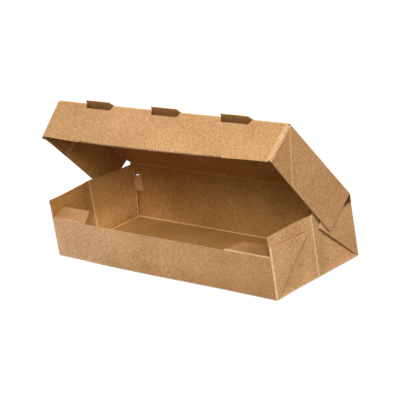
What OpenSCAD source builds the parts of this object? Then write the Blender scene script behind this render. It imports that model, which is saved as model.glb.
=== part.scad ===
// Takeaway box of kraft card: an oblong tray with folded corner webs, and a hinged lid standing open.
// The origin is the middle of the underside. +X runs along the front, +Y to the back, +Z up.

/* [Card] */
// Thickness of the card
card_t = 0.5; // [0.4:0.05:0.6]
// Gap between two layers that lie against each other
layer_gap = 0.15; // [0.1:0.05:0.3]
// Radius of the raised roll along each crease
crease_r = 0.32; // [0.31:0.01:0.38]
// Gap between pieces that turn past each other
run_gap = 0.35; // [0.3:0.05:0.6]

/* [Tray] */
// Length of the tray, corner to corner
tray_l = 250; // [220:5:290]
// Depth of the tray, front to back
tray_d = 100; // [94:2:130]
// Height of the hinge line above the table
tray_h = 52.5; // [51:0.5:62]
// Height of the low edge of the front wall
front_h = 34.4; // [26:0.2:35.4]
// Radius of the rounded rear top corner of each side wall
side_corner_r = 3; // [1:0.5:5]

/* [Corner webs] */
// Height of a web at its corner of the tray
web_h = 44.7; // [42:0.3:46]
// How far a web reaches along the side wall
web_reach = 42.8; // [32:0.4:43]
// Slope of a web's folded edge
web_angle = 42.5; // [38:0.5:43]
// Drop of the web's top edge towards its tip
web_drop = 2.6; // [1:0.2:3.4]
// Width of the cut across the web's tip
web_tip_cut = 3.2; // [2:0.2:5]

/* [Lock tabs] */
// Distance from the tray's corner to the fold of a lock tab in the back wall
tab_fold = 11.7; // [11:0.1:15]
// Height of the middle of a lock tab
tab_z = 34; // [28:0.5:36]
// Height of the tab along its fold
tab_h = 15.9; // [14:0.1:18]
// Length of the tab from its fold to its free edge
tab_len = 8.4; // [7:0.1:9]
// Radius of the tab's two free corners
tab_r = 5.8; // [3:0.1:6.5]
// Width of the cut between the tab and its hole
tab_cut = 0.15; // [0.1:0.05:0.3]
// Angle by which the tab is pushed in
tab_angle = 62; // [40:1:85]

/* [Corner flaps] */
// Width of the left flap at its crease
left_flap_w = 39; // [30:1:60]
// Width of the right flap at its crease
right_flap_w = 47; // [30:1:60]
// Length of a flap from its crease to its free edge
flap_len = 15; // [10:0.5:15.5]
// How much narrower the free edge is at the end towards the middle
flap_inner_slant = 8; // [3:0.5:10]
// How much narrower the free edge is at the end by the side wall
flap_outer_slant = 1.5; // [0:0.5:4]
// Height of a flap's crease above the low front edge
flap_rise = 0.5; // [0.3:0.1:0.8]
// Tilt of the left flap above level
left_flap_tilt = 20; // [-40:1:90]
// Tilt of the right flap above level
right_flap_tilt = 8; // [-40:1:90]

/* [Lid] */
// Angle of the open lid from its closed place
lid_open = 51; // [0:1:120]
// Width of the lid at its front crease
lid_front_w = 258; // [256:0.2:264]
// Height of the lid's front panel
lid_h = 35; // [30:0.5:40]
// Height of the lid's side panels at the front
lid_side_front_h = 33.7; // [29:0.1:36]
// Height of the lid's side panels at the back
lid_side_back_h = 38; // [34:0.5:44]
// Slant of the rear edge of the side panels
lid_rear_slant = 4; // [1:0.5:6]
// Distance from the lid's front corner to the front edge of a side panel
lid_side_setback = 1.9; // [1:0.1:4]
// Length of the front panel's glued end flaps
glue_flap_l = 35; // [25:1:45]
// Height of the chamfer at the front of the side panels and glued flaps
chamfer_h = 4; // [2:0.5:6]

/* [Lid vents] */
// Number of vents along the front crease
vent_count = 3; // [1:1:3]
// Distance between vents
vent_pitch = 77.5; // [60:0.5:84]
// Width of a vent's tab at its root
vent_root_w = 33.5; // [26:0.5:40]
// Width of a vent's tab at its free edge
vent_tip_w = 28.5; // [20:0.5:38]
// Length of a vent's tab past the front crease
vent_len = 4.8; // [3:0.1:7]

/* [Tear edge] */
// Length of the toothed stretch of the lid's lower front edge
tear_l = 162.5; // [100:2.5:230]
// Distance between teeth
tooth_pitch = 3; // [2:0.1:5]
// Depth of the teeth
tooth_h = 1.5; // [0.4:0.1:2]

/* [Hidden] */
kraft = [0.72, 0.54, 0.36];

// Layers folded flat on each other lie one step apart
step = card_t + layer_gap;
fold_r = step / 2 + card_t / 2 + 0.02;
// A crease roll sits just inside the outer faces of the two panels that it joins
roll_in = crease_r + 0.02;
half_l = tray_l / 2;
half_d = tray_d / 2;
// A web's outer layer, its inner layer and the side wall lie on each other
web_outer_x = half_l - card_t / 2;
web_inner_x = web_outer_x - step;
side_x = web_inner_x - step;
side_top = tray_h - card_t / 2 - run_gap;
web_start = card_t + layer_gap + fold_r;
web_top_end = web_reach - web_tip_cut;
hinge_y = half_d - card_t / 2;
flap_y = -half_d + card_t / 2;
flap_z = front_h + flap_rise;
// A flap starts far enough from its crease to fold below level
flap_root = 2 * run_gap + crease_r;
flap_end_x = side_x - card_t / 2 - run_gap;
// The closed lid reaches just past the front wall and the webs
lid_d = hinge_y + half_d + run_gap + card_t / 2;
lid_back_x = half_l + run_gap + card_t / 2;
lid_front_x = lid_front_w / 2;
lid_flare = atan((lid_front_x - lid_back_x) / lid_d);
lid_side_l = lid_d / cos(lid_flare);
lid_start = crease_r + run_gap;
tooth_count = floor(tear_l / tooth_pitch);

function web_top(y) = web_h - web_drop * y / web_top_end;
function vent_x(i) = (i - (vent_count - 1) / 2) * vent_pitch;

// Outline of a web from distance y0 behind the corner to its cut tip
function web_outline(y0) = [
    [y0, y0 * tan(web_angle)],
    [y0, web_top(y0)],
    [web_top_end, web_top(web_top_end)],
    [web_reach, web_reach * tan(web_angle)]
];

function vent_outline(x, depth) = [
    [x - vent_root_w / 2, 0],
    [x + vent_root_w / 2, 0],
    [x + vent_tip_w / 2, depth],
    [x - vent_tip_w / 2, depth]
];

// Panel parallel to the front wall: its outline is drawn in x and z
module upright_across(y) {
    translate([0, y, 0])
        rotate([90, 0, 0])
            linear_extrude(card_t, center = true)
                children();
}

// Panel parallel to the side walls: its outline is drawn in y and z
module upright_along(x) {
    translate([x, 0, 0])
        rotate([90, 0, 90])
            linear_extrude(card_t, center = true)
                children();
}

module level(z) {
    translate([0, 0, z])
        linear_extrude(card_t, center = true)
            children();
}

module roll_x(x0, x1, y, z, r = crease_r) {
    translate([x0, y, z])
        rotate([0, 90, 0])
            cylinder(h = x1 - x0, r = r, $fn = 32);
}

module roll_z(x, y, z0, z1, r = crease_r) {
    translate([x, y, z0])
        cylinder(h = z1 - z0, r = r, $fn = 32);
}

// Roll in a panel parallel to the side walls, from one point in y and z to another
module roll_along(x, from, to, r = crease_r) {
    run = to - from;
    translate([x, from[0], from[1]])
        rotate([atan2(run[1], run[0]) - 90, 0, 0])
            cylinder(h = norm(run), r = r, $fn = 32);
}

module tray_floor() {
    level(card_t / 2)
        square([2 * side_x, tray_d - 2 * roll_in], center = true);
    for (end = [-1, 1])
        roll_x(-side_x, side_x, end * (half_d - roll_in), roll_in);
}

// Low in the middle, and up to the flaps' creases at both ends
module front_wall() {
    low = half_l - roll_in;
    left_end = -flap_end_x + left_flap_w;
    right_end = flap_end_x - right_flap_w;
    upright_across(flap_y)
        polygon([
            [-low, roll_in], [low, roll_in],
            [low, flap_z], [right_end, flap_z], [right_end, front_h],
            [left_end, front_h], [left_end, flap_z], [-low, flap_z]
        ]);
    roll_x(-flap_end_x, left_end, flap_y, flap_z);
    roll_x(right_end, flap_end_x, flap_y, flap_z);
    for (end = [-1, 1])
        roll_x(min(end * side_x, end * low), max(end * side_x, end * low), -half_d + roll_in, roll_in);
}

// Outline of a lock tab or its hole, from the tab's fold at x = 0 to the rounded free edge
module tab_outline(h, length, r) {
    round_x = length - r;
    round_z = h / 2 - r;
    intersection() {
        translate([0, -h / 2])
            square([length, h]);
        union() {
            translate([0, -h / 2])
                square([round_x, h]);
            translate([0, -round_z])
                square([length, 2 * round_z]);
            for (z = [-round_z, round_z])
                translate([round_x, z])
                    circle(r, $fn = 48);
        }
    }
}

// Each lock tab leaves a hole of its own shape
module back_wall() {
    low = half_l - roll_in;
    upright_across(hinge_y)
        difference() {
            translate([-low, roll_in])
                square([2 * low, tray_h - roll_in]);
            for (end = [0, 1])
                mirror([end, 0])
                    translate([half_l - tab_fold, tab_z])
                        tab_outline(tab_h, tab_len, tab_r);
        }
    roll_x(-low, low, hinge_y, tray_h);
    for (end = [-1, 1])
        roll_x(min(end * side_x, end * low), max(end * side_x, end * low), half_d - roll_in, roll_in);
}

// Tab punched out of the back wall and pushed in
module lock_tab() {
    roll = tab_h / 2 - 2 * tab_cut;
    translate([half_l - tab_fold, hinge_y, tab_z])
        rotate([0, 0, -tab_angle])
            upright_across(0)
                tab_outline(tab_h - 2 * tab_cut, tab_len - tab_cut, tab_r - tab_cut);
    roll_z(half_l - tab_fold, hinge_y, tab_z - roll, tab_z + roll);
}

module side_wall() {
    front = -half_d + web_start;
    back = half_d - web_start;
    upright_along(side_x) {
        translate([front, roll_in])
            square([back - front, side_top - roll_in - side_corner_r]);
        translate([-half_d + card_t / 2, web_h + layer_gap])
            square([tray_d - card_t - side_corner_r, side_top - web_h - layer_gap]);
        translate([half_d - card_t / 2 - side_corner_r, side_top - side_corner_r])
            circle(side_corner_r, $fn = 48);
        translate([half_d - card_t / 2 - side_corner_r, web_h + layer_gap])
            square([side_corner_r, side_top - side_corner_r - web_h - layer_gap]);
    }
    roll_along(side_x + card_t / 2 - roll_in, [front, roll_in], [back, roll_in]);
    roll_along(side_x, [0, roll_in], [0, side_top]);
}

// Double triangle folded flat on the outside of the side wall, behind the front corner
module web() {
    foot = [web_start, web_start * tan(web_angle)];
    tip = [web_reach, web_reach * tan(web_angle)];
    translate([0, -half_d, 0]) {
        upright_along(web_outer_x)
            polygon(web_outline(roll_in));
        roll_z(half_l - roll_in, roll_in, roll_in, web_h);
        roll_along((web_outer_x + web_inner_x) / 2, foot, tip, fold_r);
        upright_along(web_inner_x)
            polygon(web_outline(web_start));
        roll_z((web_inner_x + side_x) / 2, web_start, card_t, web_top(web_start), fold_r);
    }
}

module tray() {
    color(kraft)
        union() {
            tray_floor();
            front_wall();
            back_wall();
            for (side = [0, 1])
                mirror([side, 0, 0]) {
                    side_wall();
                    lock_tab();
                    for (end = [0, 1])
                        mirror([0, end, 0])
                            web();
                }
        }
}

// In the lid's modules the lid is closed, its hinge is the X axis and its front lies towards -Y
module lid_top() {
    level(0)
        mirror([0, 1, 0])
            union() {
                polygon([
                    [-lid_back_x, lid_start], [lid_back_x, lid_start],
                    [lid_front_x, lid_d], [-lid_front_x, lid_d]
                ]);
                translate([0, lid_d])
                    for (i = [0 : vent_count - 1])
                        polygon(vent_outline(vent_x(i), vent_len));
            }
}

// Row of notches cut into the lower edge, which leaves teeth at the panel's full height
module toothed_edge() {
    first = -tooth_count * tooth_pitch / 2;
    for (i = [0 : tooth_count - 1])
        translate([first + i * tooth_pitch, 0])
            polygon([[0, 0], [tooth_pitch, 0], [tooth_pitch / 2, tooth_h]]);
}

module lid_front() {
    edge = lid_front_x - step;
    upright_across(-lid_d)
        difference() {
            translate([-edge, -lid_h])
                square([2 * edge, lid_h]);
            translate([0, -lid_h])
                toothed_edge();
            for (i = [0 : vent_count - 1])
                mirror([0, 1])
                    polygon(vent_outline(vent_x(i), vent_len));
        }
    stops = [
        -edge,
        for (i = [0 : vent_count - 1]) for (s = [-1, 1]) vent_x(i) + s * vent_root_w / 2,
        edge
    ];
    for (i = [0 : vent_count])
        roll_x(stops[2 * i], stops[2 * i + 1], -lid_d, 0);
}

module lid_side() {
    foot = lid_side_front_h;
    front = -lid_side_l + lid_side_setback;
    translate([lid_back_x, 0, 0])
        rotate([0, 0, lid_flare]) {
            upright_along(0)
                polygon([
                    [-lid_start, 0],
                    [-lid_start - lid_rear_slant, -lid_side_back_h],
                    [front, -foot], [front, -chamfer_h], [front - lid_side_setback / 2, 0]
                ]);
            roll_along(0, [-lid_start, 0], [-lid_side_l, 0]);
            roll_along(0, [-lid_side_l + crease_r, -crease_r], [-lid_side_l + foot, -foot + crease_r]);
            upright_along(-step)
                polygon([
                    [-lid_side_l, -crease_r], [-lid_side_l, -lid_side_front_h],
                    [-lid_side_l + glue_flap_l, -lid_side_front_h],
                    [-lid_side_l + glue_flap_l, -chamfer_h - crease_r],
                    [-lid_side_l + glue_flap_l - chamfer_h, -crease_r - layer_gap]
                ]);
            roll_z(-step, -lid_side_l, -lid_side_front_h, 0);
        }
}

module lid() {
    color(kraft)
        translate([0, hinge_y, tray_h])
            rotate([-lid_open, 0, 0])
                union() {
                    lid_top();
                    lid_front();
                    for (side = [0, 1])
                        mirror([side, 0, 0])
                            lid_side();
                }
}

// Flap on the left of the front wall, level, with its crease on the X axis
module corner_flap(width) {
    outer = -flap_end_x;
    level(0)
        polygon([
            [outer, flap_root], [outer + flap_outer_slant, flap_len],
            [outer + width - flap_inner_slant, flap_len], [outer + width, flap_root]
        ]);
}

module left_corner_flap() {
    color(kraft)
        translate([0, flap_y, flap_z])
            rotate([left_flap_tilt, 0, 0])
                corner_flap(left_flap_w);
}

module right_corner_flap() {
    color(kraft)
        translate([0, flap_y, flap_z])
            rotate([right_flap_tilt, 0, 0])
                mirror([1, 0, 0])
                    corner_flap(right_flap_w);
}

tray();
lid();
left_corner_flap();
right_corner_flap();
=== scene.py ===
"""Dresses the takeaway box: folded kraft card in place of the plain solids, with floor, lights and camera.

Sizes are in millimetres, as in the part's source, and become metres where a mesh is made.
A side is -1 for the left end of the box and 1 for the right one.
"""
import math

import bmesh
import bpy
from mathutils import Matrix, Vector


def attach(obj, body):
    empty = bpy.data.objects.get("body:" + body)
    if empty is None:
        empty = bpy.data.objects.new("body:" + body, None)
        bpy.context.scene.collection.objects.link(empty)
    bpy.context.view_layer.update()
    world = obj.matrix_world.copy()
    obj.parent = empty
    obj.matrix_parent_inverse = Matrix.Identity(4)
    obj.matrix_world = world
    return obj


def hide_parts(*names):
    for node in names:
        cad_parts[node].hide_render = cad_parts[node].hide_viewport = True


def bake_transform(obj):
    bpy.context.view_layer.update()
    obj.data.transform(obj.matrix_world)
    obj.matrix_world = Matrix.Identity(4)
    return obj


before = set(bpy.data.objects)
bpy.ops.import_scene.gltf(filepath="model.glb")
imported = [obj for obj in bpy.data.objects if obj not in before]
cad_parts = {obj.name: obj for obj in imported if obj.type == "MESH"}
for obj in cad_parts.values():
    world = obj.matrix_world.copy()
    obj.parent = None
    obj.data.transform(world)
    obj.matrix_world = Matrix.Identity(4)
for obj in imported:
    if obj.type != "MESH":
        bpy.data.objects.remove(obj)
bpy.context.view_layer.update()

MM = 0.001

# Sizes of the part's source; some left and right values, the vents and the teeth follow the photo closer
CARD = 0.5
STEP = 0.65
HALF_L = 125.0
HALF_D = 50.0
TRAY_H = 52.5
FRONT_H = 34.4
SIDE_TOP = 51.9
SIDE_CORNER_R = 3.0
WEB_H = 44.7
WEB_REACH = 42.8
WEB_TIP_CUT = 3.2
WEB_SLOPE = math.tan(math.radians(42.5))
WEB_DROP = 2.6
TAB_FOLD = 11.7
TAB_Z = {-1: 34.0, 1: 32.4}
TAB_H = 15.9
TAB_LEN = 8.4
TAB_R = 5.8
TAB_ANGLE = 62.0
TAB_STEPS = 8
FLAP_W = {"left": 39.0, "right": 47.0}
FLAP_TILT = {"left": 20.0, "right": 8.0}
FLAP_LEN = 15.0
FLAP_INNER_SLANT = {"left": 7.2, "right": 8.0}
FLAP_OUTER_SLANT = {"left": -0.25, "right": 1.5}
FLAP_Z = 34.9
FLAP_ROOT = 1.02
FLAP_END_X = 122.85
LID_OPEN = 51.0
LID_START = 0.67
LID_D = 100.35
LID_H = 35.0
LID_BACK_X = 125.6
LID_FRONT_X = 129.0
LID_FLARE = math.atan((LID_FRONT_X - LID_BACK_X) / LID_D)
LID_SIDE_L = LID_D / math.cos(LID_FLARE)
LID_SIDE_FRONT_H = {-1: 36.9, 1: 33.7}
LID_SIDE_BACK_H = {-1: 36.0, 1: 38.0}
LID_REAR_SLANT = 4.0
LID_REAR_SETBACK = {-1: 3.2, 1: 0.0}
LID_SIDE_SETBACK = {-1: 0.6, 1: 1.9}
GLUE_FLAP_L = 35.0
GLUE_FLAP_H = 33.7
GLUE_FLAP_END_H = 30.5
CHAMFER_H = 4.0
VENT_XS = (-76.5, 0.4, 76.2)
VENT_ROOT_W = 33.5
VENT_TIP_W = 28.5
VENT_LEN = 4.8
TEAR_L = 162.5
TOOTH_PITCH = 3.0
TOOTH_H = 1.9

# Middle planes of the tray's panels, and the middle radius of every fold
WALL_X = HALF_L - CARD / 2
WALL_Y = HALF_D - CARD / 2
FLOOR_Z = CARD / 2
FOLD = 0.75
ARC = FOLD * math.pi / 2
# How far the back wall ends below the hinge line, where the hinge's crease begins
HINGE_GAP = 0.7
# How far the paler wear and painted highlight reach beside a fold, and beside a straight crease of the sides
WEAR_AND_HIGHLIGHT_REACH = 0.4
CREASE_REACH = 0.8

# How the card of this box stands off its ideal planes
SIDE_CREASE_Y = {-1: -1.5, 1: 0.0}
SIDE_BULGE = {-1: 0.8, 1: 0.4}
SIDE_LEAN = 5.0
WEB_LIFT = 0.9
LEFT_REAR_RISE = 0.5
LEFT_FRONT_DROP = 1.2
REAR_SPLAY = 2.6
FRONT_SWELL = 1.5
LID_SHEAR = {-1: -1.5, 1: -0.2}
LID_TWIST = 0.8
LID_RIDGE = 0.25
LID_DIP = 0.35
LID_LEFT_CLOSE = 4.2
LID_RIGHT_CLOSE = 1.5
LID_RIGHT_SPLAY = 2.2
LID_END_FROM = 95.0
LID_END_TO = 118.0
# Places along the lid's front panel, each with how much lower its edge hangs there
FRONT_DROPS = ((-130, 1.6), (-100, 2.7), (-54, 3.4), (4, 3.0), (58, 1.9), (110, 0.0), (130, -0.4))

# Each pair is where a give of the card starts and where it is full

# The webs press the side walls in, but not the left wall's front above its web
PRESS_Y = (2.0, 16.0)
PRESS_Z = (0.0, 4.0)
FREE_Y = (-8.0, -16.0)
FREE_Z = (WEB_H - 1.0, WEB_H + 5.0)
# The side walls bulge out beside their crease
BULGE_REACH = 14.0
# The right rear corner splays to the right, and forward near the back wall
SPLAY_X = (90.0, 122.0)
SPLAY_Y = (-20.0, 40.0)
SPLAY_BACK_Y = (20.0, 49.0)
# The front wall swells, fading out to both ends
SWELL_LEFT_X = (-125.0, -50.0)
SWELL_RIGHT_X = (80.0, -30.0)
SWELL_Y = (-20.0, -49.0)
SWELL_Z = (30.0, 0.0)
# The left wall's top edge is higher at the rear and lower at the front
RISE_Y = (-50.0, 0.0)
DROP_Y = (-2.0, -40.0)
LIFT_Z = (20.0, SIDE_TOP)
# The webs' tips stand off the walls
WEB_LIFT_ALONG = (22.0, 42.0)
WEB_LIFT_UP = (18.0, 40.0)

# Wear and painted highlight at the corner flaps' creases, painted shade on the flaps, and how far the
# creases lap over the sheets that they join
FLAP_WEAR_AND_HIGHLIGHT = {"left": 0.15, "right": 0.9}
FLAP_SHADE = {"left": 0.14, "right": 0.46}
FLAP_CREASE_BELOW = 0.6
FLAP_CREASE_PAST = 0.2
CREASE_ABOVE = 0.05
HINGE_CREASE_BELOW = 0.75
HINGE_CREASE_PAST = 0.1

# Spacing of the cuts that make the flat sheets fine enough to bend, and steps of a fold or a round corner
FINE = 4.0
COARSE = 5.0
WIDE = 6.0
BEND_STEPS = 6


# Folded card

class Bent:
    """Line in a plane, of straight runs and round bends: each part is a length and the angle it turns."""

    def __init__(self, start, heading, parts):
        self.parts = []
        self.marks = []
        x, y = start
        angle = math.radians(heading)
        done = 0.0
        for length, turn in parts:
            rate = math.radians(turn) / length
            self.parts.append((done, length, x, y, angle, rate))
            if turn:
                self.marks += [done + length * i / BEND_STEPS for i in range(BEND_STEPS + 1)]
                self.marks += [done - WEAR_AND_HIGHLIGHT_REACH, done + length + WEAR_AND_HIGHLIGHT_REACH]
            (x, y), angle = self._go(x, y, angle, rate, length)
            done += length
        self.length = done

    @staticmethod
    def _go(x, y, angle, rate, way):
        end = angle + rate * way
        if abs(rate) < 1e-9:
            return (x + way * math.cos(angle), y + way * math.sin(angle)), end
        across = (math.sin(end) - math.sin(angle)) / rate
        along = (math.cos(end) - math.cos(angle)) / rate
        return (x + across, y - along), end

    def at(self, way):
        """Point and left-hand normal after so much of the line."""
        for done, length, x, y, angle, rate in self.parts:
            if way <= done + length + 1e-6:
                break
        point, end = self._go(x, y, angle, rate, way - done)
        return point, (-math.sin(end), math.cos(end))

    def bend(self, way):
        """1 on a bend, fading to 0 beside it."""
        bends = [(done, done + length) for done, length, *_, rate in self.parts if rate]
        near = min(max(first - way, way - last, 0) for first, last in bends)
        return max(0.0, 1 - near / WEAR_AND_HIGHLIGHT_REACH)


def lines_u(low, high, pitch):
    """Cuts across u, each as a point on the line and the way across it."""
    n = max(1, round((high - low) / pitch))
    return [((low + (high - low) * i / n, 0), (1, 0)) for i in range(1, n)]


def lines_w(low, high, pitch):
    """Cuts across w."""
    n = max(1, round((high - low) / pitch))
    return [((0, low + (high - low) * i / n), (0, 1)) for i in range(1, n)]


def at_u(*places):
    return [((u, 0), (1, 0)) for u in places]


def marks_w(bent):
    return [((0, w), (0, 1)) for w in bent.marks]


def crease_lines(a, b, half=1.0, count=5):
    """Cuts on and beside the crease from a to b."""
    run = (Vector(b) - Vector(a)).normalized()
    aside = Vector((-run.y, run.x))
    steps = [half * (2 * i / (count - 1) - 1) for i in range(count)]
    return [(tuple(Vector(a) + aside * step), tuple(aside)) for step in steps]


def from_crease(u, w, a, b):
    """Distance of a point from the line through a and b."""
    run = (Vector(b) - Vector(a)).normalized()
    return abs((u - a[0]) * -run.y + (w - a[1]) * run.x)


def smooth(low, high, value):
    """0 at low and 1 at high, eased at both ends; low may be the larger of the two."""
    t = min(1.0, max(0.0, (value - low) / (high - low)))
    return t * t * (3 - 2 * t)


# Count of the shifts that keep the fibres of one sheet unlike those of the next
FIBRE_SHIFTS = 977


class Card:
    """Collects folded sheets of card, and makes one object of them."""

    def __init__(self):
        self.points = []
        self.faces = []
        self.rims = []
        self.flat = []
        self.crease = []
        self.tone = []
        self.slots = []

    def sheet(self, outlines, cuts, place, outside,
              crease=lambda u, w: 0.0, tone=lambda u, w: 1.0, both_out=False):
        """Adds a sheet: flat outlines in u and w, cut along the lines, and carried to its place.

        place gives a point and its normal, and outside is 1 if that normal points out of the box, or -1.
        crease is 0 on plain card and 1 or more along a crease, which is paler with wear and painted
        highlight, and tone is over 1 where painted light makes the card paler and under 1 where painted
        shade makes it darker.
        both_out is true of a web, which shows the card's outer face on both sides.
        """
        bm = bmesh.new()
        for outline in outlines:
            bm.faces.new([bm.verts.new((u, w, 0)) for u, w in outline])
        for (u, w), (du, dw) in cuts:
            parts = bm.verts[:] + bm.edges[:] + bm.faces[:]
            bmesh.ops.bisect_plane(bm, geom=parts, dist=1e-4, plane_co=(u, w, 0), plane_no=(du, dw, 0))
        bmesh.ops.remove_doubles(bm, verts=bm.verts, dist=1e-3)
        long = [f for f in bm.faces if len(f.verts) > 4]
        bmesh.ops.triangulate(bm, faces=long)
        bm.verts.index_update()
        first = len(self.points)
        count = len(bm.verts)
        placed = [place(v.co.x, v.co.y) for v in bm.verts]
        for half in (CARD / 2, -CARD / 2):
            for v, (p, n) in zip(bm.verts, placed):
                self.points.append(Vector(p) + Vector(n) * (half * outside))
                self.flat.append((v.co.x, v.co.y, float(first % FIBRE_SHIFTS)))
                self.crease.append(crease(v.co.x, v.co.y))
                self.tone.append(tone(v.co.x, v.co.y))
        for f in bm.faces:
            ring = [v.index for v in f.verts]
            p = [Vector(placed[i][0]) for i in ring]
            across = sum(((p[i] - p[0]).cross(p[i + 1] - p[0]) for i in range(1, len(p) - 1)), Vector())
            if across.dot(Vector(placed[ring[0]][1]) * outside) < 0:
                ring.reverse()
            self.faces.append([first + i for i in ring])
            self.faces.append([first + count + i for i in reversed(ring)])
            self.slots += [0, 0 if both_out else 2]
            turned = {(ring[i], ring[(i + 1) % len(ring)]) for i in range(len(ring))}
            for e in f.edges:
                if len(e.link_faces) == 1:
                    a, b = (v.index for v in e.verts)
                    if (a, b) not in turned:
                        a, b = b, a
                    self.rims.append([first + b, first + a, first + count + a, first + count + b])
        bm.free()

    def make(self, name, body, slot_name, *nodes):
        """Makes the object, which rides a body and takes the place of the plain nodes."""
        mesh = bpy.data.meshes.new(name)
        mesh.from_pydata([p * MM for p in self.points], [], self.faces + self.rims)
        mesh.validate()
        rim_edges = set()
        for i, polygon in enumerate(mesh.polygons):
            rim = i >= len(self.faces)
            polygon.use_smooth = not rim
            polygon.material_index = 1 if rim else self.slots[i]
            if rim:
                rim_edges.update(polygon.edge_keys)
        for e in mesh.edges:
            e.use_edge_sharp = e.key in rim_edges
        flat = mesh.attributes.new("flat", "FLOAT_VECTOR", "POINT")
        flat.data.foreach_set("vector", [x for p in self.flat for x in p])
        for key, values in (("crease", self.crease), ("tone", self.tone)):
            mesh.attributes.new(key, "FLOAT", "POINT").data.foreach_set("value", values)
        mesh.materials.append(kraft)
        mesh.materials.append(cut_edge)
        mesh.materials.append(kraft_inside)
        piece = bpy.data.objects.new(name, mesh)
        bpy.context.scene.collection.objects.link(piece)
        if body:
            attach(piece, body)
        if nodes:
            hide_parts(*nodes)
        return piece


# Materials

def node(tree, kind, **inputs):
    made = tree.nodes.new(kind)
    for key, value in inputs.items():
        made.inputs[key.replace("_", " ")].default_value = value
    return made


def mix_colour(tree, factor, a, b, blend="MIX"):
    made = tree.nodes.new("ShaderNodeMix")
    made.data_type = "RGBA"
    made.blend_type = blend
    for socket, value in ((made.inputs[0], factor), (made.inputs[6], a), (made.inputs[7], b)):
        if isinstance(value, bpy.types.NodeSocket):
            tree.links.new(value, socket)
        else:
            socket.default_value = value
    return made.outputs[2]


def math_node(tree, operation, a, b):
    made = tree.nodes.new("ShaderNodeMath")
    made.operation = operation
    for socket, value in zip(made.inputs, (a, b)):
        if isinstance(value, bpy.types.NodeSocket):
            tree.links.new(value, socket)
        else:
            socket.default_value = value
    return made.outputs[0]


def remap(tree, value, low, high, to_low, to_high):
    made = tree.nodes.new("ShaderNodeMapRange")
    tree.links.new(value, made.inputs[0])
    for socket, number in zip(made.inputs[1:5], (low, high, to_low, to_high)):
        socket.default_value = number
    return made.outputs[0]


def noise(tree, vector, scale, detail, roughness=0.55):
    made = node(tree, "ShaderNodeTexNoise", Scale=scale, Detail=detail, Roughness=roughness)
    tree.links.new(vector, made.inputs["Vector"])
    return made.outputs["Fac"]


def stretched(tree, vector, angle, stretch):
    """Sheet coordinates turned and squeezed along one way, for fibres that lie that way."""
    made = node(tree, "ShaderNodeMapping")
    tree.links.new(vector, made.inputs["Vector"])
    made.inputs["Rotation"].default_value = (0, 0, math.radians(angle))
    made.inputs["Scale"].default_value = (1, 1 / stretch, 1)
    return made.outputs["Vector"]


# How much more green and blue change than red where the board is lighter or darker, in its mottling and in
# painted light and shade
TONE_POWERS = (1.0, 1.3, 1.9)
# Sizes of the noises, in repeats to the metre; the fibres' is in repeats to the millimetre
CLOUD_SCALE = 30.0
BLOTCH_SCALE = 560.0
GRAIN_SCALE = 1250.0
FIBRE_SCALE = 2.6
FIBRE_STRETCH = 9.0
FIBRE_ANGLES = (18, 74, 131)
# Darkest and palest mottling, and the dark fibres, as shares of the board's tone
DARK = 0.70
BRIGHT = 1.26
DARK_FIBRE = 0.55


def toned(tone, light):
    """The board's colour made lighter or darker: a darker place is also a redder one."""
    return (*(channel * light ** power for channel, power in zip(tone, TONE_POWERS)), 1)


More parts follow.
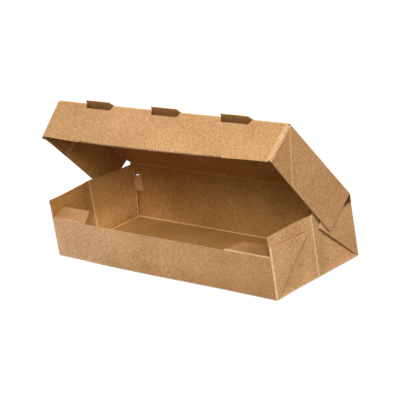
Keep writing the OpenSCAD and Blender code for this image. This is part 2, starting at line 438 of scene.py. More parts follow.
def card_material(name, tone, light, wear_and_highlight=0.0, edge=False):
    """Kraft card: mottled brown with short fibres lying every way, paler where it is creased with wear and
    painted highlight, and tinted by painted light and shade.
    """
    material = bpy.data.materials.new(name)
    material.use_nodes = True
    tree = material.node_tree
    shader = tree.nodes["Principled BSDF"]
    place = node(tree, "ShaderNodeTexCoord").outputs["Object"]
    sheet = node(tree, "ShaderNodeAttribute")
    sheet.attribute_name = "flat"
    sheet = sheet.outputs["Vector"]
    cloud = noise(tree, place, CLOUD_SCALE, 2.0)
    blotch = noise(tree, place, BLOTCH_SCALE, 3.0, 0.65)
    grain = noise(tree, place, GRAIN_SCALE, 4.0, 0.7)
    lies = [stretched(tree, sheet, angle, FIBRE_STRETCH) for angle in FIBRE_ANGLES]
    fibres = [noise(tree, lie, FIBRE_SCALE, 1.0) for lie in lies]
    light_fibres = math_node(tree, "MAXIMUM", math_node(tree, "MAXIMUM", fibres[0], fibres[1]), fibres[2])
    dark_fibres = math_node(tree, "MINIMUM", math_node(tree, "MINIMUM", fibres[0], fibres[1]), fibres[2])

    dark = toned(tone, DARK)
    bright = toned(tone, BRIGHT)
    fine = math_node(tree, "MULTIPLY", grain, 0.45)
    spread = math_node(tree, "ADD", math_node(tree, "MULTIPLY", blotch, 0.55), fine)
    wide = math_node(tree, "MULTIPLY", math_node(tree, "SUBTRACT", cloud, 0.5), 0.25)
    spread = math_node(tree, "ADD", spread, wide)
    colour = mix_colour(tree, remap(tree, spread, 0.36, 0.64, 0.0, 1.0), dark, bright)
    colour = mix_colour(tree, remap(tree, light_fibres, 0.66, 0.80, 0.0, 0.30), colour, (*light, 1))
    dark_fibre = toned(tone, DARK_FIBRE)
    colour = mix_colour(tree, remap(tree, dark_fibres, 0.36, 0.22, 0.0, 0.35), colour, dark_fibre)
    if not edge:
        # Creases are paler, partly wear and partly painted highlight
        crease = node(tree, "ShaderNodeAttribute")
        crease.attribute_name = "crease"
        worn_and_lit = math_node(tree, "MULTIPLY", crease.outputs["Fac"], remap(tree, blotch, 0.30, 0.60, 0.55, 1.0))
        colour = mix_colour(tree, math_node(tree, "MULTIPLY", worn_and_lit, wear_and_highlight), colour, (*light, 1))
        # The tone attribute paints light and shade; where it darkens, green and blue drop faster, so the
        # painted shade is redder
        tone_at = node(tree, "ShaderNodeAttribute")
        tone_at.attribute_name = "tone"
        shift = node(tree, "ShaderNodeCombineColor")
        for socket, power in zip(shift.inputs, TONE_POWERS):
            tree.links.new(math_node(tree, "POWER", tone_at.outputs["Fac"], power), socket)
        colour = mix_colour(tree, 1.0, colour, shift.outputs[0], "MULTIPLY")
    tree.links.new(colour, shader.inputs["Base Color"])
    tree.links.new(remap(tree, grain, 0.3, 0.7, 0.80, 0.94), shader.inputs["Roughness"])
    shader.inputs["Specular IOR Level"].default_value = 0.25

    relief = math_node(tree, "ADD", grain, math_node(tree, "MULTIPLY", light_fibres, 0.6))
    relief = math_node(tree, "ADD", relief, math_node(tree, "MULTIPLY", blotch, 0.8))
    bump = node(tree, "ShaderNodeBump", Strength=0.35, Distance=0.00012)
    tree.links.new(relief, bump.inputs["Height"])
    tree.links.new(bump.outputs["Normal"], shader.inputs["Normal"])
    return material


# Each side of the card and its cut edge has a tone, and a paler one for light fibres and for the creases'
# wear and painted highlight
OUTSIDE_TONE = (0.560, 0.302, 0.124)
OUTSIDE_LIGHT = (0.84, 0.60, 0.37)
# The inner face is darker and redder than the outer one, partly its own tone and partly painted shade for
# the box's inside
INSIDE_TONE = (0.487, 0.248, 0.067)
INSIDE_LIGHT = (0.86, 0.59, 0.29)
EDGE_TONE = (0.60, 0.40, 0.22)
EDGE_LIGHT = (0.80, 0.60, 0.40)
kraft = card_material("kraft_card", OUTSIDE_TONE, OUTSIDE_LIGHT, wear_and_highlight=0.7)
kraft_inside = card_material("kraft_card_inside", INSIDE_TONE, INSIDE_LIGHT, wear_and_highlight=0.75)
cut_edge = card_material("kraft_cut_edge", EDGE_TONE, EDGE_LIGHT, edge=True)


# Tray

def web_top(y):
    """Height of a web's top edge, so far from the corner of the tray."""
    return WEB_H - WEB_DROP * y / (WEB_REACH - WEB_TIP_CUT)


def inset(side, y, z):
    """How far a side wall stands inside its ideal plane.

    The webs push it in, its crease bulges out, and it leans in towards the rear.
    """
    under_web = 2 * STEP * smooth(*PRESS_Z, z) * smooth(*PRESS_Y, abs(y))
    if side < 0:
        under_web *= 1 - smooth(*FREE_Z, z) * smooth(*FREE_Y, y)
    bulge = SIDE_BULGE[side] * smooth(BULGE_REACH, 0.0, abs(y - SIDE_CREASE_Y[side]))
    bulge *= smooth(0.0, SIDE_TOP, z)
    up = max(0.0, min(1.0, z / SIDE_TOP))
    lean = SIDE_LEAN * max(0.0, y) / WALL_Y * math.sin(math.pi / 2 * up)
    return under_web - bulge + lean


def in_tray(point, normal):
    """The tray's own give: its right rear corner splays and its front wall swells, both most at the foot."""
    x, y, z = point
    rear = max(0.0, min(1.0, (y - SPLAY_Y[0]) / (SPLAY_Y[1] - SPLAY_Y[0])))
    splay = REAR_SPLAY * smooth(*SPLAY_X, x) * rear * (1 - 0.85 * z / TRAY_H)
    swell = FRONT_SWELL * smooth(*SWELL_LEFT_X, x) * smooth(*SWELL_RIGHT_X, x)
    swell *= smooth(*SWELL_Y, y) * smooth(*SWELL_Z, z)
    forward = 0.5 * splay * smooth(*SPLAY_BACK_Y, y) * (1 - z / TRAY_H)
    return (x + splay, y - swell - forward, z), normal


def side_lift(side, y, z):
    """How far the left wall's top edge dips towards the front and rises towards the rear."""
    if side > 0:
        return 0.0
    rise = LEFT_REAR_RISE * smooth(*RISE_Y, y) - LEFT_FRONT_DROP * smooth(*DROP_Y, y)
    return rise * smooth(*LIFT_Z, z)


def tab_edge(middle):
    """Rounded free edge of a lock tab from its lower end up, as distances from the fold and heights."""
    x = TAB_LEN - TAB_R
    z = TAB_H / 2 - TAB_R
    points = []
    for end in (-1, 1):
        for i in range(TAB_STEPS + 1):
            turn = math.radians(90 * (i / TAB_STEPS if end > 0 else 1 - i / TAB_STEPS))
            points.append((x + TAB_R * math.cos(turn), middle + end * (z + TAB_R * math.sin(turn))))
    return points


tray = Card()

# Front wall, floor and back wall are one strip, folded twice
band = Bent((-WALL_Y, FLAP_Z), -90,
            [(FLAP_Z - FLOOR_Z - FOLD, 0), (ARC, 90), (2 * (WALL_Y - FOLD), 0), (ARC, 90),
             (TRAY_H - HINGE_GAP - FLOOR_Z - FOLD, 0)])
corner = WALL_X - FOLD
low_edge = FLAP_Z - FRONT_H
front_fold = band.parts[1][0]
back_fold = band.parts[3][0]


def place_band(u, w):
    (y, z), (ny, nz) = band.at(w)
    return in_tray((u, y, z), (0, ny, nz))


left_end = -FLAP_END_X + FLAP_W["left"]
right_end = FLAP_END_X - FLAP_W["right"]
wall_foot = back_fold + ARC
tab_x = HALF_L - TAB_FOLD


def wall_w(z):
    """Place on the strip of a height on the back wall."""
    return wall_foot + z - FLOOR_Z - FOLD


def band_painted_light(u, w):
    """Painted light and shade: paler towards the left of the front wall and a little darker at its foot,
    darker on the floor but paler at its left, dark at the right end of the back wall above the web, and
    paler low at the left of the back wall.
    """
    if w < front_fold + ARC:
        low = smooth(front_fold * 0.5, front_fold, w) * smooth(-100.0, -40.0, u)
        paler = 0.16 * smooth(125.0, -20.0, u) + 0.28 * smooth(-20.0, -110.0, u)
        return (0.92 + paler) * (1 - 0.10 * low)
    if w < wall_foot - 1:
        return 0.93 + 0.1 * smooth(-60.0, -110.0, u)
    # Painted shade at the right end of the back wall, above the web
    if u > tab_x + 3 and w > above_web - 2:
        return 0.45
    # Painted light low at the left end of the back wall
    return 1.0 + 0.22 * smooth(60.0, 105.0, -u) * smooth(wall_foot + 30, wall_foot - 5, w)


# The back wall's ends pass round the lock tabs' holes, and stand out a little above the webs
above_web = wall_w(WEB_H + 0.2)
hole_ends = {side: [wall_w(TAB_Z[side] + end * TAB_H / 2) for end in (-1, 1)] for side in (-1, 1)}
band_outlines = [
    [(-corner, 0), (left_end, 0), (left_end + 0.6, low_edge), (right_end - 0.6, low_edge), (right_end, 0),
     (corner, 0), (corner, front_fold + ARC), (corner, back_fold), (corner, wall_foot), (tab_x, wall_foot),
     (tab_x, hole_ends[1][0]), (tab_x, hole_ends[1][1]), (tab_x, band.length), (-tab_x, band.length),
     (-tab_x, hole_ends[-1][1]), (-tab_x, hole_ends[-1][0]), (-tab_x, wall_foot), (-corner, wall_foot),
     (-corner, back_fold), (-corner, front_fold + ARC)]]
for side in (-1, 1):
    wall_end = [(tab_x, wall_foot), (corner, wall_foot), (corner, above_web), (HALF_L, above_web),
                (HALF_L, band.length), (corner, band.length), (tab_x, band.length),
                (tab_x, hole_ends[side][1])]
    wall_end += [(tab_x + x, wall_w(z)) for x, z in reversed(tab_edge(TAB_Z[side]))]
    wall_end.append((tab_x, hole_ends[side][0]))
    band_outlines.append([(side * u, w) for u, w in wall_end])
tray.sheet(
    band_outlines,
    lines_u(-corner, corner, COARSE) + lines_w(0, front_fold, COARSE)
    + lines_w(front_fold + ARC, back_fold, WIDE) + lines_w(wall_foot, band.length, COARSE) + marks_w(band),
    place_band, -1, lambda u, w: band.bend(w), band_painted_light)


def height(z):
    """Place on a side wall's sheet of a height above the ground."""
    return ARC + z - FLOOR_Z - FOLD


def side_wall(side):
    """Side wall with a crease up its middle, folded up from the floor."""
    rise = Bent((corner, FLOOR_Z), 0, [(ARC, 90), (SIDE_TOP - FLOOR_Z - FOLD, 0)])

    def place_side(u, w):
        (x, z), (nx, nz) = rise.at(w)
        return in_tray((side * (x - inset(side, u, z)), u, z + side_lift(side, u, z)), (side * nx, 0, nz))

    # Paler at the foot's fold, up the middle crease and at the rear fold: wear and painted highlight
    def side_crease(u, w):
        rear_fold = smooth(wear_and_highlight_from, wear_and_highlight_to, u) if w < step_z else 0.0
        up_the_middle = max(0.0, 1.45 - abs(u - SIDE_CREASE_Y[side]) / CREASE_REACH)
        return max(rise.bend(w), up_the_middle, rear_fold)

    def side_painted_light(u, w):
        """Painted light and shade: the left wall is palest at its foot, darker at its top, most in front of
        its crease, and paler towards its rear; the right one is palest at its front.
        """
        if side > 0:
            return 1.0 + 0.06 * smooth(0.0, -40.0, u)
        foot = 0.50 * smooth(height(30.0), height(5.0), w)
        if u < SIDE_CREASE_Y[side]:
            return 0.82 + foot
        return 0.88 + foot + 0.4 * smooth(0.0, 40.0, u) * smooth(5.0, 20.0, w)

    front_y = -HALF_D + 0.9
    back_y = HALF_D - 2.6
    wear_and_highlight_from = back_y - 1.6
    wear_and_highlight_to = back_y - 0.8
    foot_y = HALF_D - 0.5
    top = height(SIDE_TOP)
    round_corner = []
    for i in range(BEND_STEPS + 1):
        turned = math.radians(90 * i / BEND_STEPS)
        round_corner.append((WALL_Y - SIDE_CORNER_R * (1 - math.cos(turned)),
                             top - SIDE_CORNER_R * (1 - math.sin(turned))))
    step_z = height(WEB_H + 0.15)
    outline = [(-foot_y, 0), (foot_y, 0), (foot_y, 0.7 * ARC), (back_y, ARC + 0.3)]
    outline += [(back_y, step_z), (WALL_Y, step_z)] + round_corner
    outline += [(-WALL_Y, top), (-WALL_Y, step_z), (front_y, step_z), (front_y, ARC + 0.3),
                (-foot_y, 0.7 * ARC)]
    tray.sheet([outline],
               lines_u(-HALF_D, HALF_D, FINE) + lines_w(ARC, top, FINE) + marks_w(rise)
               + crease_lines((SIDE_CREASE_Y[side], 0), (SIDE_CREASE_Y[side], 9))
               + at_u(wear_and_highlight_from, wear_and_highlight_to),
               place_side, -1, side_crease, side_painted_light)


def web(side, end):
    """Corner web, folded double outside a side wall; end is -1 at the front and 1 at the rear."""
    # Outer layer, from the roll at the corner of the tray to the slanting fold
    turn = Bent((corner, WALL_Y), 0, [(ARC, -90), (WEB_REACH, 0)])

    def lift(way, z):
        """How far the web stands off the wall, which is most at its tip."""
        return WEB_LIFT * smooth(*WEB_LIFT_ALONG, way) * smooth(*WEB_LIFT_UP, z)

    def place_web(u, w, depth=0):
        (x, y), (nx, ny) = turn.at(w)
        away = lift(w, u) * (1 if depth == 0 else 0.7)
        return in_tray((side * (x + away - depth * STEP), end * y, u), (side * nx, end * ny, 0))

    def web_points(first_w):
        """Outline of a web layer: height and distance along it."""
        tip = WEB_REACH - 0.6
        cut = WEB_REACH - WEB_TIP_CUT
        start = max(first_w, 0.0)
        behind = max(0.0, start - ARC) + FOLD
        return [(0.3 if start < ARC else behind * WEB_SLOPE + 0.6, start),
                (web_top(behind), start),
                (web_top(cut), ARC + cut - FOLD),
                (tip * WEB_SLOPE, ARC + tip - FOLD),
                (2.0 * WEB_SLOPE, ARC + 2.0 - FOLD + 0.6)]

    top_slope = -WEB_DROP / (WEB_REACH - WEB_TIP_CUT)
    under_top = [((web_top(FOLD) - 0.9, 0), (1, -top_slope))]

    def web_painted_light(u, w):
        """Painted shade just under the cut top edge; painted light makes the front web a little paler than
        the rear one.
        """
        if u > web_top(FOLD) + top_slope * w - 0.5 and w > ARC:
            return 0.45
        return 1.08 if end < 0 else 0.97

    tray.sheet([web_points(0.0)],
               lines_u(0, WEB_H, FINE) + lines_w(ARC, WEB_REACH, FINE) + marks_w(turn) + under_top,
               place_web, 1, lambda u, w: 0.7 * turn.bend(w), web_painted_light, both_out=True)
    # Inner layer, behind it
    tray.sheet([web_points(ARC + 0.6)],
               lines_u(0, WEB_H, FINE) + lines_w(ARC, WEB_REACH, FINE),
               lambda u, w: place_web(u, w, 1), 1, both_out=True)

    # Round edge along the slanting fold, which joins the two layers; its darker tone is painted shade
    low = Vector((3.0 * WEB_SLOPE, 3.0))
    tip = Vector(((WEB_REACH - 0.6) * WEB_SLOPE, WEB_REACH - 0.6))
    slant = (tip - low).normalized()
    half_round = STEP / 2 * math.pi
    past_tip = 60.0

    def place_fold_edge(u, w):
        at = low + slant * u
        turned = w / (STEP / 2)
        out = Vector((-slant.y, slant.x)) * (math.sin(turned) * STEP / 2)
        (x, y, z), _ = place_web(at.x + out.x, ARC + at.y + out.y - FOLD)
        shift = STEP / 2 * (1 - math.cos(turned))
        face = Vector((side * math.cos(turned), end * -out.y, out.x))
        return (x - side * shift, y, z), face.normalized()

    length = (tip - low).length
    tray.sheet([[(0, 0), (length, 0), (length, half_round), (0, half_round)]],
               lines_u(0, past_tip, FINE) + lines_w(0, half_round, STEP / 8), place_fold_edge, 1,
               tone=lambda u, w: 0.55, both_out=True)


def lock_tab(side):
    """Tab punched out of the back wall and pushed in."""
    push = math.radians(TAB_ANGLE)
    tab_z = TAB_Z[side]
    tab_turn = Bent((tab_x, WALL_Y), 0, [(FOLD * push, -TAB_ANGLE), (TAB_LEN - FOLD * push, 0)])

    def tab_painted_light(u, w):
        """Pale with painted light, and dark along the cut with painted shade."""
        across = abs(u - tab_z)
        if w < TAB_LEN - TAB_R:
            inside = TAB_H / 2 - across
        else:
            inside = TAB_R - math.hypot(w - TAB_LEN + TAB_R, max(0.0, across - TAB_H / 2 + TAB_R))
        return 0.45 + 1.15 * smooth(0.25, 0.9, inside)

    def place_tab(u, w):
        (x, y), (nx, ny) = tab_turn.at(w)
        return (side * x, y, u), (side * nx, ny, 0)

    tray.sheet([[(tab_z - TAB_H / 2, 0)] + [(z, x) for x, z in tab_edge(tab_z)] + [(tab_z + TAB_H / 2, 0)]],
               lines_u(tab_z - TAB_H / 2, tab_z + TAB_H / 2, 0.8) + lines_w(FOLD * push, TAB_LEN, 0.8)
               + marks_w(tab_turn),
               place_tab, 1, tone=tab_painted_light)


for side in (-1, 1):
    side_wall(side)
    for end in (-1, 1):
        web(side, end)
    lock_tab(side)
tray.make("tray_card", "tray", "tray_card", "tray")


# Lid, made closed with its hinge on the X axis, then opened

LID_PLACE = Matrix.Translation((0, WALL_Y, TRAY_H)) @ Matrix.Rotation(math.radians(-LID_OPEN), 4, "X")
LID_TURN = LID_PLACE.to_3x3()


def front_drop(x):
    """How much lower than its ideal height the front panel's lower edge hangs."""
    for (x0, low), (x1, high) in zip(FRONT_DROPS, FRONT_DROPS[1:]):
        if x <= x1:
            return low + (high - low) * (x - x0) / (x1 - x0)
    return FRONT_DROPS[-1][1]


def lid_warp(p):
    """The lid's own give: it leans to the left and is twisted.

    Its sides close in at the front, and the right one splays at the rear.
    """
    x, y, z = p
    deep = max(0.0, -z) / LID_H
    front = min(1.0, -y / LID_D)
    by_end = smooth(LID_END_FROM, LID_END_TO, abs(x))
    out = math.copysign(1, x)
    splay = LID_RIGHT_SPLAY * (1 - front) if x > 0 else 0.0
    close = LID_RIGHT_CLOSE if x > 0 else LID_LEFT_CLOSE
    closing = front * (by_end + (1 - by_end) * abs(x) / LID_END_TO)
    spread = out * deep * (splay * by_end - close * closing)
    rise = (LID_TWIST * x / LID_FRONT_X - LID_DIP) * front ** 2
    drop = front_drop(x) * deep * smooth(0.93, 1.0, front)
    shear = (LID_SHEAR[1] + LID_SHEAR[-1]) / 2 + (LID_SHEAR[1] - LID_SHEAR[-1]) / 2 * x / LID_FRONT_X
    return Vector((x + spread + shear * front, y, z + rise - drop))


def in_lid(point, normal):
    return LID_PLACE @ lid_warp(point), LID_TURN @ Vector(normal)


lid = Card()
cover = Bent((-LID_START, 0), 180, [(LID_D - FOLD - LID_START, 0), (ARC, 90), (LID_H - FOLD, 0)])
top_end = cover.parts[1][0]
front_start = top_end + ARC
slot_end = top_end + ARC + VENT_LEN - FOLD


def place_cover(u, w):
    (y, z), (ny, nz) = cover.at(w)
    return in_lid((u, y, z), (0, ny, nz))


def top_edge_x(y):
    """Half width of the lid's top, so far from the hinge."""
    return LID_BACK_X + y * math.tan(LID_FLARE) - FOLD


front_x = LID_FRONT_X - STEP - FOLD
slots = []
for x in VENT_XS:
    slots += [(x - VENT_ROOT_W / 2, top_end), (x - VENT_TIP_W / 2, slot_end), (x + VENT_TIP_W / 2, slot_end),
              (x + VENT_ROOT_W / 2, top_end)]
teeth = []
tooth_count = int(TEAR_L / TOOTH_PITCH)
for i in range(tooth_count):
    x = TEAR_L / 2 - i * TOOTH_PITCH
    teeth += [(x, cover.length), (x - TOOTH_PITCH / 2, cover.length - TOOTH_H)]
teeth.append((-TEAR_L / 2, cover.length))
top_outline = [(-top_edge_x(LID_START), 0), (top_edge_x(LID_START), 0), (top_edge_x(LID_D) - 0.3, top_end)]
top_outline += [(x, w) for x, w in reversed(slots) if w == top_end] + [(-top_edge_x(LID_D) + 0.3, top_end)]
front_outline = [(-front_x, top_end)] + slots + [(front_x, top_end), (front_x, cover.length)] + teeth
front_outline += [(-front_x, cover.length)]

# Paler band at the front panel's right end, with wear and painted highlight, and a dark line along it,
# painted shade
band_xs = [front_x - x for x in (2.0, 1.6, 0.6, 0.05)]


def cover_crease(u, w):
    """Paler at the folds and at the front panel's right end, with wear and painted highlight."""
    return max(cover.bend(w), 0.85 * smooth(band_xs[0], band_xs[1], u) if w > front_start else 0.0)


def cover_tone(u, w):
    """A little darker towards the right end, and dark along the line of its paler band, which is painted
    shade.
    """
    line = 0.45 if w > front_start and band_xs[2] < u < band_xs[3] else 0.0
    return 1.0 - 0.08 * smooth(40.0, 125.0, u) - line


lid.sheet([top_outline, front_outline],
          lines_u(-HALF_L, HALF_L, COARSE) + at_u(*band_xs, sum(band_xs[2:]) / 2)
          + lines_w(0, top_end, COARSE) + lines_w(front_start, cover.length - TOOTH_H, FINE)
          + marks_w(cover),
          place_cover, -1, cover_crease, cover_tone)

# Tabs of the vents, which stay in the plane of the top
tab_end = FOLD + VENT_LEN - 0.5
past_tab = 20.0
for x in VENT_XS:
    lid.sheet([[(x - VENT_ROOT_W / 2, 0), (x + VENT_ROOT_W / 2, 0), (x + VENT_TIP_W / 2, tab_end),
                (x - VENT_TIP_W / 2, tab_end)]],
              lines_u(x - past_tab, x + past_tab, FINE) + lines_w(0, tab_end, 2),
              lambda u, w: in_lid((u, -LID_D + FOLD - w, 0), (0, 0, 1)), 1)


def down(z):
    """Place on a side panel's sheet, so far below the lid's top."""
    return ARC + z - FOLD


def lid_side(side):
    """Side panel, hung from the top's edge, with the slanting crease from its front corner."""
    front_h = LID_SIDE_FRONT_H[side]
    back_h = LID_SIDE_BACK_H[side]
    hang = Bent((-FOLD, 0), 0, [(ARC, -90), (back_h + 2 - FOLD, 0)])
    along = Vector((math.sin(LID_FLARE), -math.cos(LID_FLARE), 0))
    aside = Vector((math.cos(LID_FLARE), math.sin(LID_FLARE), 0))

    def lid_point(u, out, z):
        p = Vector((LID_BACK_X, 0, z)) + along * u + aside * out
        return Vector((side * p.x, p.y, p.z))

    crease_from = (LID_SIDE_L, down(0))
    crease_to = (LID_SIDE_L - front_h, down(front_h))

    def place_lid_side(u, w):
        (out, z), (nx, nz) = hang.at(w)
        near = max(0.0, 1 - from_crease(u, w, crease_from, crease_to)) if w > ARC else 0.0
        ridge = LID_RIDGE * near
        n = aside * nx
        return in_lid(lid_point(u, out + ridge, z), (side * n.x, n.y, nz))

    def lid_side_crease(u, w):
        line = max(0.0, 1.3 - from_crease(u, w, crease_from, crease_to) / CREASE_REACH) if w > ARC else 0.0
        return max(hang.bend(w), line)

    def lid_side_painted_shade(u, w):
        """Painted shade: the side panel is a little darker, and most of all in front of its crease."""
        ahead = u + w - (crease_from[0] + crease_from[1])
        return 0.90 - 0.13 * smooth(-1.0, 1.0, ahead)

    front = LID_SIDE_L - LID_SIDE_SETBACK[side]
    rear = LID_START + LID_REAR_SETBACK[side]
    outline = [(LID_START, 0), (LID_SIDE_L - 0.6, 0), (LID_SIDE_L - 0.9, ARC),
               (front, down(CHAMFER_H)), (front, down(front_h)),
               (rear + LID_REAR_SLANT, down(back_h)), (rear, ARC)]
    lid.sheet([outline],
              lines_u(0, LID_SIDE_L, COARSE) + lines_w(ARC, down(back_h), COARSE) + marks_w(hang)
              + crease_lines(crease_from, crease_to),
              place_lid_side, 1, lid_side_crease, lid_side_painted_shade)


def glued_flap(side):
    """End flap of the front panel, turned back and glued inside the side panel."""
    tuck = Bent((0, 0), 0, [(ARC, 90), (GLUE_FLAP_L, 0)])
    tuck_end = ARC + GLUE_FLAP_L - FOLD

    def place_tuck(u, w):
        (x, y), (nx, ny) = tuck.at(w)
        start = Vector((front_x, -LID_D, -u))
        if w > ARC:
            back = w - ARC
            p = start + Vector((FOLD - back * math.sin(LID_FLARE), FOLD + back * math.cos(LID_FLARE), 0))
        else:
            p = start + Vector((x, y, 0))
        return in_lid((side * p.x, p.y, p.z), (side * nx, ny, 0))

    def tuck_crease(u, w):
        """Paler a little at the fold, and at the free end, with wear and painted highlight."""
        fold_wear_and_highlight = 0.4 * smooth(ARC + 1.6, ARC + 0.8, w)
        return max(fold_wear_and_highlight, smooth(tuck_end - 1.25, tuck_end - 0.25, w))

    lid.sheet([[(1.2, 0), (LID_H - 1.3, 0), (GLUE_FLAP_H, ARC), (GLUE_FLAP_END_H, tuck_end),
                (CHAMFER_H + 1, tuck_end), (1.2, tuck_end - CHAMFER_H)]],
              lines_u(0, LID_H, FINE) + lines_w(ARC, GLUE_FLAP_L, FINE) + marks_w(tuck),
              place_tuck, -1, tuck_crease)


for side in (-1, 1):
    lid_side(side)
    glued_flap(side)
lid.make("lid_card", "lid", "lid_card", "lid")


# Corner flaps on the front wall, and the creases that join them to it

def on_crease(x, w, start, mid, end):
    """Point and normal on a crease that curves from start, by way of mid, to end as w goes from 0 to 1."""
    p = start * (1 - w) ** 2 + mid * 2 * w * (1 - w) + end * w * w
    d = (mid - start) * (1 - w) + (end - mid) * w
    return (x, p.y, p.z), Vector((0, -d.z, d.y)).normalized()


def corner_flap(name, side):
    """Flap on one end of the front wall, with the crease that joins it to the wall."""
    worn_and_lit = FLAP_WEAR_AND_HIGHLIGHT[name]
    shade = FLAP_SHADE[name]
    flap = Card()
    tilt = math.radians(FLAP_TILT[name])
    turned = Matrix.Translation((0, -WALL_Y, FLAP_Z)) @ Matrix.Rotation(tilt, 4, "X")
    inner = FLAP_END_X - FLAP_W[name]

    def place_flap(u, w):
        return turned @ Vector((side * u, w, 0)), turned.to_3x3() @ Vector((0, 0, 1))

    def flap_crease(u, w):
        return worn_and_lit * max(0.0, 1 - (w - FLAP_ROOT) / CREASE_REACH)

    # Painted shade, deepest towards the flap's outer end
    def flap_tone(u, w):
        return 1.0 - shade * (0.45 + 0.55 * smooth(inner, FLAP_END_X - 8, u))

    flap.sheet([[(FLAP_END_X, FLAP_ROOT), (FLAP_END_X - FLAP_OUTER_SLANT[name], FLAP_LEN),
                 (inner + FLAP_INNER_SLANT[name], FLAP_LEN), (inner, FLAP_ROOT)]],
               lines_u(inner, FLAP_END_X, FINE) + lines_w(FLAP_ROOT, FLAP_LEN, 3)
               + lines_w(FLAP_ROOT, FLAP_ROOT + 1, 0.4),
               place_flap, 1, flap_crease, flap_tone)
    flap.make(name + "_flap_card", name + "_flap", "flap_card", name + "_corner_flap")

    fold = Card()
    start = Vector((0, -WALL_Y, FLAP_Z - FLAP_CREASE_BELOW))
    end = turned @ Vector((0, FLAP_ROOT + FLAP_CREASE_PAST, 0))
    mid = Vector((0, -WALL_Y, FLAP_Z + CREASE_ABOVE))

    def place_fold(u, w):
        return on_crease(side * u, w, start, mid, end)

    # The crease is paler all over, with wear and painted highlight
    fold.sheet([[(inner, 0), (FLAP_END_X, 0), (FLAP_END_X, 1), (inner, 1)]],
               lines_u(inner, FLAP_END_X, FINE) + lines_w(0, 1, 0.12),
               place_fold, 1, lambda u, w: worn_and_lit)
    piece = fold.make(name + "_flap_crease", None, "flap_card")
    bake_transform(piece)


corner_flap("left", -1)
corner_flap("right", 1)

# Crease of the lid's hinge, paler all over with wear and painted highlight
hinge = Card()
start = Vector((0, WALL_Y, TRAY_H - HINGE_CREASE_BELOW))
end = LID_PLACE @ Vector((0, -LID_START - HINGE_CREASE_PAST, 0))
mid = Vector((0, WALL_Y, TRAY_H))


def place_hinge(u, w):
    return on_crease(u, w, start, mid, end)


hinge.sheet([[(-corner, 0), (corner, 0), (corner, 1), (-corner, 1)]],
            lines_u(-corner, corner, COARSE) + lines_w(0, 1, 0.15), place_hinge, -1, lambda u, w: 0.7)
piece = hinge.make("hinge_crease", None, "lid_card")
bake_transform(piece)


# Camera, floor and light

def direction(azimuth, elevation):
    """Way from the box to a camera or a lamp; azimuth 0 is in front and 90 at the right."""
    a = math.radians(azimuth)
    e = math.radians(elevation)
    return Vector((math.sin(a) * math.cos(e), -math.cos(a) * math.cos(e), math.sin(e)))


def look(azimuth, elevation, roll):
    """Right, up and backward directions of a camera at these angles."""
    a = math.radians(azimuth)
    r = math.radians(roll)
    back = direction(azimuth, elevation)
    right = Vector((math.cos(a), math.sin(a), 0))
    up = back.cross(right)
    return math.cos(r) * right + math.sin(r) * up, math.cos(r) * up - math.sin(r) * right, back


# The photo's camera, solved from corners of the box in its 400 pixels
CAMERA_AZIMUTH = 45.72
CAMERA_ELEVATION = 18.59
CAMERA_ROLL = -9.05
EYE_AIM = Vector((0, 25, 40))
EYE_ASIDE = -12.78
EYE_UP = 0.14
EYE_BACK = 1300.07
SENSOR = 36
FOCAL_PIXELS = 1551.82
PHOTO_PIXELS = 400


def add_camera():
    right, up, back = look(CAMERA_AZIMUTH, CAMERA_ELEVATION, CAMERA_ROLL)
    eye = EYE_AIM + right * EYE_ASIDE + up * EYE_UP + back * EYE_BACK
    camera = bpy.data.objects.new("camera", bpy.data.cameras.new("camera"))
    camera.data.sensor_width = SENSOR
    camera.data.lens = SENSOR * FOCAL_PIXELS / PHOTO_PIXELS
    camera.data.clip_start = 0.05
    camera.data.clip_end = 50
    camera.matrix_world = Matrix.Translation(eye * MM) @ Matrix((right, up, back)).transposed().to_4x4()
    bpy.context.scene.collection.objects.link(camera)
    bpy.context.scene.camera = camera


add_camera()

# Floor and sky; lengths are in metres
FLOOR_REACH = 6.0
FLOOR_BELOW = 0.0003
FLOOR_GREY = 0.28
NEAR_GLOW = 0.80
WHITE_FROM_TO = (0.2, 0.7)
SKY_LIGHT = 0.02


def seen_white(tree):
    """1 where the camera, a gloss or a clear thing sees the background, and 0 for the light it throws."""
    rays = node(tree, "ShaderNodeLightPath").outputs
    seen = math_node(tree, "ADD", rays["Is Camera Ray"], rays["Is Glossy Ray"])
    return math_node(tree, "MINIMUM", math_node(tree, "ADD", seen, rays["Is Transmission Ray"]), 1.0)


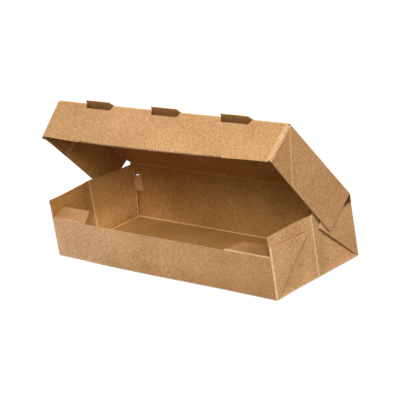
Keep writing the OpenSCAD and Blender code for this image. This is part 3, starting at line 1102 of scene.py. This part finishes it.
def add_floor():
    """White floor with a soft shadow: it glows to the camera, a little less close to the box."""
    floor_mesh = bpy.data.meshes.new("floor")
    floor_corners = [(x * FLOOR_REACH, y * FLOOR_REACH, 0) for x, y in ((-1, -1), (1, -1), (1, 1), (-1, 1))]
    floor_mesh.from_pydata(floor_corners, [], [(0, 1, 2, 3)])
    floor = bpy.data.objects.new("floor", floor_mesh)
    floor.location.z = -FLOOR_BELOW
    bpy.context.scene.collection.objects.link(floor)
    paper = bpy.data.materials.new("white_floor")
    paper.use_nodes = True
    tree = paper.node_tree
    tree.nodes.clear()
    matt = node(tree, "ShaderNodeBsdfDiffuse")
    matt.inputs["Color"].default_value = (FLOOR_GREY, FLOOR_GREY, FLOOR_GREY, 1)
    glow = node(tree, "ShaderNodeEmission")
    both = node(tree, "ShaderNodeAddShader")
    place = node(tree, "ShaderNodeTexCoord").outputs["Object"]
    far = node(tree, "ShaderNodeVectorMath")
    far.operation = "LENGTH"
    tree.links.new(place, far.inputs[0])
    white = remap(tree, far.outputs["Value"], *WHITE_FROM_TO, NEAR_GLOW, 1.0)
    tree.links.new(math_node(tree, "MULTIPLY", seen_white(tree), white), glow.inputs["Strength"])
    tree.links.new(matt.outputs[0], both.inputs[0])
    tree.links.new(glow.outputs[0], both.inputs[1])
    out = node(tree, "ShaderNodeOutputMaterial")
    tree.links.new(both.outputs[0], out.inputs["Surface"])
    floor_mesh.materials.append(paper)


def add_sky():
    """White for the camera, and almost no light from it."""
    world = bpy.data.worlds.new("studio")
    bpy.context.scene.world = world
    world.use_nodes = True
    tree = world.node_tree
    sky = tree.nodes["Background"]
    sky.inputs["Color"].default_value = (1, 1, 1, 1)
    tree.links.new(remap(tree, seen_white(tree), 0, 1, SKY_LIGHT, 1.0), sky.inputs["Strength"])


add_floor()
add_sky()

# The lamps' distances and sizes are in metres
LAMP_AIM = Vector((0, 0, 0.05))


def lamp(name, azimuth, elevation, distance, size, power):
    """Round soft lamp that the camera doesn't see, pointed at the box."""
    away = direction(azimuth, elevation)
    data = bpy.data.lights.new(name, "AREA")
    data.shape = "DISK"
    data.size = size
    data.energy = power
    made = bpy.data.objects.new(name, data)
    made.location = away * distance + LAMP_AIM
    made.rotation_euler = away.to_track_quat("Z", "Y").to_euler()
    made.visible_camera = False
    bpy.context.scene.collection.objects.link(made)


lamp("key", 50, 40, 1.7, 1.0, 24)
lamp("front", 25, 40, 1.7, 1.0, 10)
lamp("side", 93, 12, 1.7, 1.0, 5.5)
lamp("above", -11, 41, 0.69, 0.25, 0.4)
lamp("rear", 226, 35, 1.7, 1.0, 20)

scene = bpy.context.scene
scene.view_settings.view_transform = "Standard"
